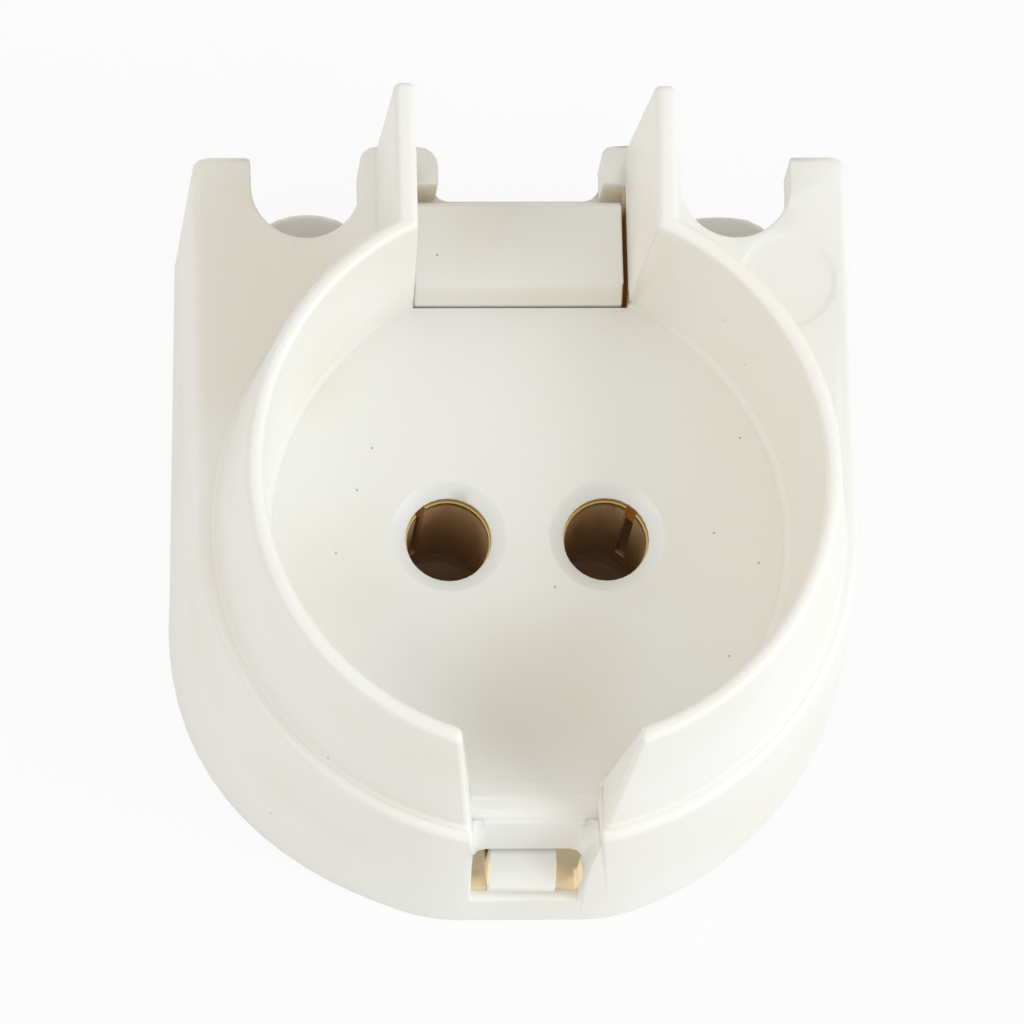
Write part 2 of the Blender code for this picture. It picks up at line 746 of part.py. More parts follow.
def hook():
    """Snap hook at the bottom: an arm with a sloping nose that catches over the strip."""
    arm_outer = -flat_depth(0.0) + STRIP_WALL + GAP
    arm_inner = arm_outer + HOOK_ARM
    nose_low = STRIP_HEIGHT + GAP
    nose_outer = arm_outer - HOOK_REACH
    tip = -floor_end() - SLOT_STEP
    outline = [
        (arm_inner + HOOK_FOOT, GAP),
        (arm_inner + HOOK_FOOT, COVER_THICKNESS - GAP),
        (arm_inner + GAP, COVER_THICKNESS + GAP),
        (arm_inner, COVER_THICKNESS + 2 * GAP),
        (arm_inner, WINDOW_TOP - GAP),
        (tip, WINDOW_TOP - GAP),
        (nose_outer, nose_low + HOOK_CATCH_HEIGHT),
        (nose_outer, nose_low),
        (arm_outer, nose_low),
        (arm_outer, GAP),
    ]
    half = HOOK_WIDTH / 2
    return side_prism("hook", outline, HOOK_OFFSET - half, HOOK_OFFSET + half)


def tongue():
    """Foot of the hook: the cover's plate runs on below the window."""
    half = slot_half(STRIP_HEIGHT) - GAP
    outer = -flat_depth(0.0) + STRIP_WALL + GAP + SLOT_STEP
    return block("tongue", (-half, outer, 0.0), (half, outer + SKIRT_WALL, COVER_THICKNESS))


def wire_entry(side):
    """Hole in the cover for a wire, with a funnel at the rear face."""
    profile = [
        (WIRE_HOLE_RADIUS + 2 * WIRE_FUNNEL, -WIRE_FUNNEL),
        (WIRE_HOLE_RADIUS, WIRE_FUNNEL),
        (WIRE_HOLE_RADIUS, COVER_THICKNESS + GAP),
    ]
    return turned("wire_entry", profile, side * hood_x(), wire_y(), WIRE_HOLE_SIDES)


def pin_pocket(side):
    """Pocket in the cover that lets a lamp pin's end pass below the foot strip."""
    profile = [
        (PIN_POCKET_RADIUS, COVER_THICKNESS - PIN_POCKET_DEPTH),
        (PIN_POCKET_RADIUS, COVER_THICKNESS + GAP),
    ]
    return turned("pin_pocket", profile, side * PIN_SPACING / 2, 0.0)


def rear_cover():
    """Rear moulding: plate, lug, shoulders, terminal hoods and snap hook."""
    cover = cover_plate()
    join(cover, shoulders())
    for side in (1.0, -1.0):
        join(cover, hood(side))
    join(cover, lug())
    join(cover, tongue())
    join(cover, hook())
    cut(cover, lug_pocket())
    for side in (1.0, -1.0):
        cut(cover, hood_chamber(side))
        cut(cover, strip_passage(side))
        cut(cover, wire_entry(side))
        cut(cover, pin_pocket(side))
    return cover


def foot_strip(side, name):
    """Strip from below a pin hole into its hood, with a round pad at the pin."""
    path = [
        (side * PIN_SPACING / 2, 0.0),
        (side * hood_x(), STRIP_BEND_Y),
        (side * hood_x(), HOOD_Y - chamber_radius() / 2),
    ]
    top = foot_low() + STRIP_METAL
    strip = prism(name, ribbon(rounded(path, STRIP_BEND_RADIUS), STRIP_WIDTH), foot_low(), top)
    pad = [(FOOT_PAD_RADIUS, foot_low()), (FOOT_PAD_RADIUS, top)]
    join(strip, turned("pad", pad, side * PIN_SPACING / 2, 0.0))
    return strip


def terminal(side):
    """End of the strip inside the hood, bent up into the terminal plate."""
    level = foot_low() + STRIP_METAL / 2
    wall = terminal_face() + STRIP_METAL / 2
    top = HOOD_TOP - HOOD_ROOF - TERMINAL_TOP_GAP
    path = [(HOOD_Y - chamber_radius() + GAP, level), (wall, level), (wall, top)]
    half = TERMINAL_WIDTH / 2
    profile = ribbon(rounded(path, TERMINAL_BEND), STRIP_METAL)
    return side_prism("terminal", profile, side * hood_x() - half, side * hood_x() + half)


def slit(side, low, high):
    """Cutter for the slit that lets a sleeve spring open, turned towards the ears."""
    turn = math.radians(SLEEVE_SLIT_ANGLE)
    outline = []
    for reach, half in ((0.0, -1.0), (1.0, -1.0), (1.0, 1.0), (0.0, 1.0)):
        along = reach * (SLEEVE_RADIUS + GAP)
        across = half * SLEEVE_SLIT / 2
        x = along * math.cos(turn) - across * math.sin(turn)
        y = along * math.sin(turn) + across * math.cos(turn)
        outline.append((side * (PIN_SPACING / 2 + x), y))
    return prism("slit", outline, low, high)


def contact(side, name):
    """Brass contact: slit sleeve, foot strip and terminal plate."""
    pin_x = side * PIN_SPACING / 2
    sleeve_top = FLOOR_TOP - PIN_FUNNEL_DEPTH - PIN_LIP_DEPTH - SLEEVE_DROP
    bore = SLEEVE_RADIUS - SLEEVE_METAL
    piece = foot_strip(side, name)
    join(piece, terminal(side))
    sleeve = [(SLEEVE_RADIUS, foot_low() + STRIP_METAL / 2), (SLEEVE_RADIUS, sleeve_top)]
    join(piece, turned("sleeve", sleeve, pin_x, 0.0))
    cut(piece, turned("bore", [(bore, foot_low() - GAP), (bore, sleeve_top + GAP)], pin_x, 0.0))
    cut(piece, slit(side, foot_low() + STRIP_METAL + SLEEVE_COLLAR, sleeve_top + GAP))
    half = WIRE_WINDOW_WIDTH / 2
    window = block(
        "wire_window",
        (side * hood_x() - half, wire_y() - half, foot_low() - GAP),
        (side * hood_x() + half, terminal_face(), foot_low() + STRIP_METAL + GAP),
    )
    cut(piece, window)
    return piece


def wire_spring(side, name):
    """Bent steel leaf that presses a wire against the terminal plate."""
    half = SPRING_WIDTH / 2
    back = HOOD_Y - math.sqrt((chamber_radius() - GAP) ** 2 - half ** 2) + SPRING_METAL / 2
    top = HOOD_TOP - HOOD_ROOF - GAP - SPRING_METAL / 2
    low = foot_low() + STRIP_METAL + GAP + SPRING_METAL / 2
    path = [
        (back, top),
        (back, low),
        (back + SPRING_FOOT, low),
        (terminal_face() - SPRING_BITE, top - SPRING_METAL),
    ]
    profile = ribbon(rounded(path, SPRING_BEND), SPRING_METAL)
    return side_prism(name, profile, side * hood_x() - half, side * hood_x() + half)


def finish(piece, surface):
    """Give a piece its one material and smooth shading with sharp edges."""
    piece.data.materials.clear()
    piece.data.materials.append(surface)
    piece.data.shade_smooth()
    piece.data.set_sharp_from_angle(angle=math.radians(SHARP_ANGLE))


def main():
    """Build every piece of the holder."""
    for old in list(bpy.data.objects):
        bpy.data.objects.remove(old)
    plastic = material("ivory_plastic", (0.86, 0.84, 0.78), 0.32)
    brass = material("brass", (0.72, 0.5, 0.2), 0.35, 1.0)
    steel = material("spring_steel", (0.6, 0.6, 0.6), 0.3, 1.0)
    finish(front_housing(), plastic)
    finish(rear_cover(), plastic)
    for side, word in ((-1.0, "left"), (1.0, "right")):
        finish(contact(side, "contact_" + word), brass)
        finish(wire_spring(side, "wire_spring_" + word), steel)


main()
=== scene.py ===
"""Looks of a push-in holder for a two-pin fluorescent tube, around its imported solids.

The holder lies on its rear cover on a white table. The tube's axis is +Z and the ears
point to +Y. Lengths are in metres, but zones, specks and moves are in millimetres.
"""

import logging
import math
from dataclasses import dataclass
from enum import Enum
from typing import Any

import bmesh
import bpy
from mathutils import Matrix, Vector
from mathutils.bvhtree import BVHTree
from mathutils.kdtree import KDTree


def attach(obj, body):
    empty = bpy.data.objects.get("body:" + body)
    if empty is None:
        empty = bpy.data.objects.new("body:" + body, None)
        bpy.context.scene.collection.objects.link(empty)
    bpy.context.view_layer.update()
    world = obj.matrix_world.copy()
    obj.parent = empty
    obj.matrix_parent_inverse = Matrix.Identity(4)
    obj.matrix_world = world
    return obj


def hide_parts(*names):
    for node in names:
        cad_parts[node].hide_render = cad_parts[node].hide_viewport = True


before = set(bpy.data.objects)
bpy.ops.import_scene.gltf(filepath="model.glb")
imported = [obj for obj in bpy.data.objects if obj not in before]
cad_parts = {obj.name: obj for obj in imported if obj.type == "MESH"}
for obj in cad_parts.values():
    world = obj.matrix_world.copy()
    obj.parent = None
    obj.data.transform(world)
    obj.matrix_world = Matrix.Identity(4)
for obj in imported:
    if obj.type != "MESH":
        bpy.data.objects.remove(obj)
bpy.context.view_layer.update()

LOG = logging.getLogger("holder")
MM = 0.001
PER_METRE = 1000.0
PIN_X = 2.375
PLASTIC_EDGE = 0.07 * MM
METAL_EDGE = 0.02 * MM
Colour = tuple[float, float, float]
Place = tuple[float, float, float]
ZEROS: Place = (0.0, 0.0, 0.0)
ONES: Place = (1.0, 1.0, 1.0)


class Slot(Enum):
    """Material slots of the record."""

    PLASTIC = "ivory_plastic"
    BRASS = "brass"
    STEEL = "spring_steel"


class Side(Enum):
    """The two halves of the holder, in the words of the nodes' names."""

    LEFT = "left"
    RIGHT = "right"


@dataclass(frozen=True)
class Zone:
    """Box in the holder's space, in millimetres.

    Attributes:
        low: Its corner with the smallest X, Y and Z.
        high: Its corner with the largest X, Y and Z.
        border: Width of the soft border inside it.
    """

    low: Place
    high: Place
    border: float


class Number:
    """A float socket that takes part in Python expressions."""

    def __init__(self, graph: "Graph", socket: bpy.types.NodeSocket) -> None:
        """Wrap one output socket."""
        self.graph = graph
        self.socket = socket

    def _join(self, operation: str, first: Any, second: Any) -> "Number":
        """Add a Math node on two values."""
        made = self.graph.node("ShaderNodeMath", {"operation": operation}, {0: first, 1: second})
        return Number(self.graph, made.outputs[0])

    def __add__(self, other: Any) -> "Number":
        """Sum."""
        return self._join("ADD", self, other)

    __radd__ = __add__

    def __sub__(self, other: Any) -> "Number":
        """Difference."""
        return self._join("SUBTRACT", self, other)

    def __rsub__(self, other: Any) -> "Number":
        """Difference, with this value on the right."""
        return self._join("SUBTRACT", other, self)

    def __mul__(self, other: Any) -> "Number":
        """Product."""
        return self._join("MULTIPLY", self, other)

    __rmul__ = __mul__

    def least(self, other: "Number") -> "Number":
        """Smaller of two values."""
        return self._join("MINIMUM", self, other)

    def above(self, low: float, high: float) -> "Number":
        """Smooth mask that rises from 0 at low to 1 at high.

        Args:
            low: Value at which the mask is 0.
            high: Value at which the mask is 1.

        Returns:
            The mask.
        """
        settings = {"interpolation_type": "SMOOTHSTEP"}
        made = self.graph.node(
            "ShaderNodeMapRange", settings, {"Value": self, "From Min": low, "From Max": high}
        )
        return Number(self.graph, made.outputs["Result"])

    def below(self, low: float, high: float) -> "Number":
        """Smooth mask that falls from 1 at low to 0 at high."""
        return 1.0 - self.above(low, high)


class Graph:
    """Node tree of one material, built from Python expressions."""

    def __init__(self, name: str) -> None:
        """Start a material with only its output node.

        Args:
            name: Name of the material.
        """
        self.material = bpy.data.materials.new(name)
        self.material.use_nodes = True
        # glow is seen but isn't sampled as a lamp, which keeps the render quick
        self.material.cycles.emission_sampling = "NONE"
        self.tree = self.material.node_tree
        self.tree.nodes.clear()
        self.output = self.tree.nodes.new("ShaderNodeOutputMaterial")
        self._place: bpy.types.NodeSocket | None = None
        self._millimetres: bpy.types.NodeSocket | None = None

    def node(self, kind: str, settings: dict[str, Any], values: dict[Any, Any]) -> bpy.types.Node:
        """Add one node.

        Args:
            kind: Type name of the node.
            settings: Attributes, which are set before the sockets.
            values: Numbers, tuples, sockets or wrapped sockets by input name.

        Returns:
            The new node.
        """
        made = self.tree.nodes.new(kind)
        for name, value in settings.items():
            setattr(made, name, value)
        for name, value in values.items():
            self.feed(made.inputs[name], value)
        return made

    def feed(self, target: bpy.types.NodeSocket, value: Any) -> None:
        """Set a socket's value or link it.

        Args:
            target: Input socket to fill.
            value: Number, tuple, socket or wrapped socket.
        """
        if isinstance(value, Number):
            value = value.socket
        if isinstance(value, bpy.types.NodeSocket):
            self.tree.links.new(target, value)
        elif target.type == "RGBA":
            target.default_value = (*value, 1.0)
        else:
            target.default_value = value

    @property
    def place(self) -> bpy.types.NodeSocket:
        """Object coordinates.

        Returns:
            The socket, which all users share.
        """
        if self._place is None:
            made = self.node("ShaderNodeTexCoord", {}, {})
            self._place = made.outputs["Object"]
        return self._place

    @property
    def millimetres(self) -> bpy.types.NodeSocket:
        """Object coordinates in millimetres.

        Returns:
            The socket, which all users share.
        """
        if self._millimetres is None:
            values = {"Vector": self.place, "Scale": PER_METRE}
            made = self.node("ShaderNodeVectorMath", {"operation": "SCALE"}, values)
            self._millimetres = made.outputs[0]
        return self._millimetres

    def axes(self, vector: bpy.types.NodeSocket) -> tuple[Number, Number, Number]:
        """Split a vector.

        Args:
            vector: The vector's socket.

        Returns:
            Its X, Y and Z.
        """
        x, y, z = self.node("ShaderNodeSeparateXYZ", {}, {0: vector}).outputs
        return Number(self, x), Number(self, y), Number(self, z)

    def noise(self, per_mm: float, detail: float = 2.0, stretch: Place = ONES) -> Number:
        """Noise from 0 to 1.

        Args:
            per_mm: Cells in a millimetre.
            detail: Octaves.
            stretch: Scale of the pattern along X, Y and Z.

        Returns:
            The noise value.
        """
        spread = self.node(
            "ShaderNodeMapping", {"vector_type": "POINT"}, {"Vector": self.place, "Scale": stretch}
        )
        values = {"Vector": spread.outputs[0], "Scale": per_mm / MM, "Detail": detail}
        made = self.node("ShaderNodeTexNoise", {"noise_dimensions": "3D"}, values)
        return Number(self, made.outputs["Fac"])

    def mix(self, share: Any, first: Any, second: Any) -> bpy.types.NodeSocket:
        """Colour between two colours.

        Args:
            share: 0 gives the first colour and 1 the second.
            first: Colour or socket.
            second: Colour or socket.

        Returns:
            The colour socket.
        """
        settings = {"data_type": "RGBA", "blend_type": "MIX"}
        made = self.node("ShaderNodeMix", settings, {0: share, 6: first, 7: second})
        return made.outputs[2]

    def inside(self, zone: Zone) -> Number:
        """Soft mask of a box in the holder's space.

        Args:
            zone: The box, in millimetres.

        Returns:
            1 inside the box and 0 outside it.
        """
        # 6 is the vector, 7 and 8 are the ends of its range, and 9 and 10 what they become
        settings = {"data_type": "FLOAT_VECTOR", "interpolation_type": "SMOOTHSTEP"}
        border = Vector((zone.border, zone.border, zone.border))
        rise = {7: zone.low, 8: Vector(zone.low) + border, 9: ZEROS, 10: ONES}
        fall = {7: Vector(zone.high) - border, 8: zone.high, 9: ONES, 10: ZEROS}
        ramps = {}
        for index, ends in enumerate((rise, fall)):
            made = self.node("ShaderNodeMapRange", settings, {6: self.millimetres, **ends})
            ramps[index] = made.outputs["Vector"]
        both = self.node("ShaderNodeVectorMath", {"operation": "MULTIPLY"}, ramps)
        x, y, z = self.axes(both.outputs[0])
        return x * y * z

    def dots(self, places: tuple[Place, ...], radius: float, border: float) -> Number:
        """Mask of small balls.

        Args:
            places: Middle of each ball, in millimetres.
            radius: Radius of a ball, in millimetres.
            border: Width of its soft border, in millimetres.

        Returns:
            1 in a ball and 0 away from them all.
        """
        nearest = None
        for place in places:
            ends = {0: self.millimetres, 1: place}
            made = self.node("ShaderNodeVectorMath", {"operation": "DISTANCE"}, ends)
            away = Number(self, made.outputs["Value"])
            nearest = away if nearest is None else nearest.least(away)
        return nearest.below(radius - border, radius)

    def bump(self, height: Number, distance: float, strength: float) -> bpy.types.NodeSocket:
        """Normal that a height field bends."""
        values = {"Height": height, "Distance": distance, "Strength": strength}
        return self.node("ShaderNodeBump", {}, values).outputs[0]

    def finish(self, values: dict[str, Any]) -> bpy.types.Material:
        """Add the Principled shader and close the material.

        Args:
            values: What its inputs get, by input name.

        Returns:
            The finished material.
        """
        shader = self.node("ShaderNodeBsdfPrincipled", {}, values)
        self.tree.links.new(self.output.inputs["Surface"], shader.outputs[0])
        return self.material


@dataclass(frozen=True)
class Tint:
    """Colour of one zone of the plastic, mostly painted shade, with painted glow that stands in for the
    light that a thin wall lets through.

    Attributes:
        zone: Where the colour lies.
        colour: The colour.
        glow: Share of the colour that shines by itself, as painted light.
    """

    zone: Zone
    colour: Colour
    glow: float


# Colours of the tints. Most of them are painted shade on shaded faces and in recesses and gaps, and where a
# tint has glow it paints light into the gap as well.
AMBER = (0.4, 0.23, 0.08)
TAN = (0.9, 0.77, 0.54)
PALE_TAN = (0.84, 0.73, 0.53)
CREAM = (0.87, 0.84, 0.74)
PAINTED_SHADE_YELLOW = (0.885, 0.855, 0.775)
PAINTED_WARM_SHADE = (0.915, 0.89, 0.82)
ORANGE = (0.7, 0.33, 0.08)
BROWN = (0.36, 0.23, 0.13)
BLACK = (0.0, 0.0, 0.0)


@dataclass(frozen=True)
class IvoryPlastic:
    """Ivory polycarbonate, slightly translucent, with painted amber glow and painted shade in narrow gaps.

    Attributes:
        name: Name of the material.
        body: Main colour.
        warm: Colour of the faint clouds in it.
        annulus_shade: Greyer colour of the funnels round the pin holes, painted shade of their sloping
            faces.
        speck: Colour of the dust.
        roughness: Mean roughness.
        tints: Zones with a colour of their own, mostly painted shade and painted glow, each over the ones
            before it.
        hole_tops: Middle of each funnel.
        annulus_radius: Radius of a funnel.
        annulus_border: Width of its soft border.
        specks: Middle of each speck of dust.
        speck_radius: Radius of a speck.
        speck_depth: How much of the dust's colour a speck gets.
        cloud_cells: Clouds in a millimetre.
        cloud_low: Noise value at which a cloud starts.
        cloud_high: Noise value at which it is full.
        cloud_depth: How much of the warm colour a full cloud gets.
        grain_cells: Grains of the surface in a millimetre.
        grain_height: Height of the grain beside the swirls.
        swirl_cells: Swirls of the surface in a millimetre.
        swirl_detail: Octaves of the swirls.
        gloss_spread: How much the roughness changes with the swirls.
        bump_depth: Depth of the surface's relief.
        bump_strength: Strength of the relief.
        scatter: Weight of the light that passes under the surface.
        scatter_depth: How deep that light goes.
        scatter_colour: How deep it goes in red, green and blue.
        refraction: Index of refraction.
    """

    name: str
    body: Colour = (0.905, 0.9, 0.872)
    warm: Colour = (0.88, 0.85, 0.785)
    annulus_shade: Colour = (0.88, 0.888, 0.872)
    speck: Colour = (0.16, 0.14, 0.12)
    roughness: float = 0.38
    tints: tuple[Tint, ...] = (
        # painted shade on the upper left of the plate, the floor at the slot, the right of the cup and the
        # right ear
        Tint(Zone((-10.6, 3.0, 4.0), (-4.5, 12.0, 12.0), 2.0), PAINTED_SHADE_YELLOW, 0.0),
        Tint(Zone((-2.8, -8.0, 5.0), (3.8, -1.5, 10.0), 2.2), PAINTED_SHADE_YELLOW, 0.0),
        Tint(Zone((4.0, -5.0, 6.0), (9.3, 8.0, 15.5), 1.6), PAINTED_WARM_SHADE, 0.0),
        Tint(Zone((3.0, 6.5, 7.0), (4.5, 12.5, 14.0), 0.6), PAINTED_SHADE_YELLOW, 0.0),
        # painted amber shade and glow in the gap on the lug's right, painted tan shade and glow in the
        # corners behind the ear posts, and a cream band along the foot of the lug
        Tint(Zone((2.98, 7.19, 0.9), (3.4, 10.9, 7.95), 0.05), AMBER, 0.06),
        Tint(Zone((-3.5, 10.3, 5.9), (-2.35, 11.3, 7.9), 0.45), PALE_TAN, 0.03),
        Tint(Zone((2.35, 10.3, 5.9), (3.5, 11.3, 7.9), 0.45), PALE_TAN, 0.03),
        Tint(Zone((-3.4, 7.1, 7.3), (3.1, 8.0, 7.95), 0.25), CREAM, 0.0),
        # painted tan shade and painted glow in the gaps of the window
        Tint(Zone((-2.3, -9.58, -0.3), (-1.03, -7.5, 3.4), 0.1), TAN, 0.3),
        Tint(Zone((0.83, -9.58, -0.3), (2.3, -7.5, 3.4), 0.1), TAN, 0.3),
        # painted orange shade and glow behind the slits of the sleeves, and painted brown shade with a
        # faint painted glow under the sleeves
        Tint(Zone((-4.7, -0.5, 0.5), (-2.2, 2.3, 6.5), 0.1), ORANGE, 0.1),
        Tint(Zone((2.2, -0.5, 0.5), (4.7, 2.3, 6.5), 0.1), ORANGE, 0.1),
        Tint(Zone((-3.8, -1.4, -0.5), (-0.9, 1.5, 1.6), 0.2), BROWN, 0.04),
        Tint(Zone((0.9, -1.4, -0.5), (3.8, 1.5, 1.6), 0.2), BROWN, 0.04),
    )
    hole_tops: tuple[Place, ...] = ((-PIN_X, 0.0, 7.2), (PIN_X, 0.0, 7.2))
    annulus_radius: float = 1.745
    annulus_border: float = 0.01
    specks: tuple[Place, ...] = (
        (-4.64, 2.77, 7.35),
        (-5.12, 1.46, 7.35),
        (-5.79, -0.51, 7.35),
        (7.99, 0.62, 8.84),
        (5.6, 0.07, 7.35),
        (6.93, -0.87, 7.35),
        (5.94, -3.78, 7.35),
        (-6.2, -7.12, 8.16),
        (6.48, 3.06, 7.35),
        (5.75, 5.72, 10.7),
        (6.5, 4.73, 9.37),
        (-8.8, 3.15, 9.02),
        (-9.21, 1.7, 8.86),
        (-7.6, -7.18, 2.24),
        (-2.59, 8.66, 8.0),
        (3.43, 7.28, 9.49),
        (0.77, -1.6, 7.35),
        (1.69, -9.83, 3.41),
    )
    speck_radius: float = 0.05
    speck_depth: float = 0.55
    cloud_cells: float = 0.16
    cloud_low: float = 0.42
    cloud_high: float = 0.7
    cloud_depth: float = 0.8
    grain_cells: float = 9.0
    grain_height: float = 0.35
    swirl_cells: float = 0.7
    swirl_detail: float = 3.0
    gloss_spread: float = 0.12
    bump_depth: float = 0.02 * MM
    bump_strength: float = 0.35
    scatter: float = 0.12
    scatter_depth: float = 1.2 * MM
    scatter_colour: Colour = (1.0, 0.7, 0.4)
    refraction: float = 1.55

    def build(self) -> bpy.types.Material:
        """Make the material.

        Returns:
            The plastic's material.
        """
        graph = Graph(self.name)
        cloud = graph.noise(self.cloud_cells).above(self.cloud_low, self.cloud_high)
        colour = graph.mix(cloud * self.cloud_depth, self.body, self.warm)
        # the funnels round the pin holes get a greyer colour, painted shade of their sloping faces
        funnels = graph.dots(self.hole_tops, self.annulus_radius, self.annulus_border)
        colour = graph.mix(funnels, colour, self.annulus_shade)
        glow = BLACK
        # each tint paints its colour over the rest, mostly painted shade, and a tint with glow paints light
        # there as well
        for tint in self.tints:
            mask = graph.inside(tint.zone)
            colour = graph.mix(mask, colour, tint.colour)
            if tint.glow:
                light = tuple(value * tint.glow for value in tint.colour)
                glow = graph.mix(mask, glow, light)
        dust = graph.dots(self.specks, self.speck_radius, self.speck_radius / 2)
        colour = graph.mix(dust * self.speck_depth, colour, self.speck)
        grain = graph.noise(self.grain_cells)
        swirl = graph.noise(self.swirl_cells, self.swirl_detail)
        height = grain * self.grain_height + swirl
        return graph.finish(
            {
                "Base Color": colour,
                "Roughness": self.roughness + (swirl - 0.5) * self.gloss_spread,
                "Normal": graph.bump(height, self.bump_depth, self.bump_strength),
                "Subsurface Weight": self.scatter,
                "Subsurface Radius": self.scatter_colour,
                "Subsurface Scale": self.scatter_depth,
                "IOR": self.refraction,
                "Emission Color": glow,
                "Emission Strength": 1.0,
            }
        )


@dataclass(frozen=True)
class Brass:
    """Stamped brass, bright at the top edge and brown with tarnish inside.

    Attributes:
        name: Name of the material.
        bright: Colour of bare brass.
        brown: Colour of the tarnish.
        dull: How much less metallic the tarnish is.
        roughness: Least roughness.
        edge_low: Height up to which the tarnish is full, in millimetres.
        edge_high: Height at which it ends.
        streak_cells: Streaks in a millimetre.
        streak_stretch: Scale of the streaks along X, Y and Z.
        streak_low: Noise value up to which a streak stays bare.
        streak_high: Noise value from which it is tarnished.
        gloss_spread: How much the roughness changes with the streaks.
        ragged_cells: Notches of the tarnish's edge in a millimetre.
        ragged_height: Height of the notches, in millimetres.
        grain_cells: Grains of the surface in a millimetre.
        bump_depth: Depth of the grain.
        bump_strength: Strength of the grain.
    """

    name: str
    bright: Colour = (0.78, 0.56, 0.22)
    brown: Colour = (0.68, 0.49, 0.3)
    dull: float = 0.75
    roughness: float = 0.34
    edge_low: float = 6.36
    edge_high: float = 6.56
    streak_cells: float = 1.6
    streak_stretch: Place = (1.0, 1.0, 0.12)
    streak_low: float = 0.1
    streak_high: float = 0.5
    gloss_spread: float = 0.2
    ragged_cells: float = 6.0
    ragged_height: float = 0.25
    grain_cells: float = 12.0
    bump_depth: float = 0.01 * MM
    bump_strength: float = 0.3

    def build(self) -> bpy.types.Material:
        """Make the material.

        Returns:
            The brass's material.
        """
        graph = Graph(self.name)
        _, _, z = graph.axes(graph.millimetres)
        streak = graph.noise(self.streak_cells, stretch=self.streak_stretch)
        ragged = z + (graph.noise(self.ragged_cells) - 0.5) * self.ragged_height
        spotty = streak.above(self.streak_low, self.streak_high)
        tarnish = ragged.below(self.edge_low, self.edge_high) * spotty
        colour = graph.mix(tarnish, self.bright, self.brown)
        return graph.finish(
            {
                "Base Color": colour,
                "Metallic": 1.0 - tarnish * self.dull,
                "Roughness": self.roughness + streak * self.gloss_spread,
                "Normal": graph.bump(graph.noise(self.grain_cells), self.bump_depth, self.bump_strength),
            }
        )


@dataclass(frozen=True)
class SpringSteel:
    """Rolled steel strip with fine lines along its length.

    Attributes:
        name: Name of the material.
        colour: Colour between the lines.
        dark: Colour of the lines.
        roughness: Least roughness.
        line_cells: Lines in a millimetre.
        line_stretch: Scale of the lines along X, Y and Z.
        gloss_spread: How much the roughness changes with the lines.
        bump_depth: Depth of the lines.
        bump_strength: Strength of the lines.
    """

    name: str
    colour: Colour = (0.55, 0.55, 0.54)
    dark: Colour = (0.36, 0.36, 0.36)
    roughness: float = 0.3
    line_cells: float = 14.0
    line_stretch: Place = (1.0, 0.05, 0.05)
    gloss_spread: float = 0.15
    bump_depth: float = 0.005 * MM
    bump_strength: float = 0.4

    def build(self) -> bpy.types.Material:
        """Make the material.

        Returns:
            The steel's material.
        """
        graph = Graph(self.name)
        lines = graph.noise(self.line_cells, stretch=self.line_stretch)
        return graph.finish(
            {
                "Base Color": graph.mix(lines, self.dark, self.colour),
                "Metallic": 1.0,
                "Roughness": self.roughness + lines * self.gloss_spread,
                "Normal": graph.bump(lines, self.bump_depth, self.bump_strength),
            }
        )


@dataclass(frozen=True)
class Move:
    """Shift of the vertices in one small box, all in millimetres.

    Attributes:
        low: The box's corner with the smallest X, Y and Z.
        high: The box's corner with the largest X, Y and Z.
        shift: How far the vertices go along X, Y and Z.
    """

    low: Place
    high: Place
    shift: Place

    def apply(self, bm: bmesh.types.BMesh) -> None:
        """Shift the vertices that lie in the box.

        Args:
            bm: The mesh to change.
        """
        for vert in bm.verts:
            place = tuple(value / MM for value in vert.co)
            if all(low < value < high for low, value, high in zip(self.low, place, self.high)):
                vert.co += Vector(self.shift) * MM


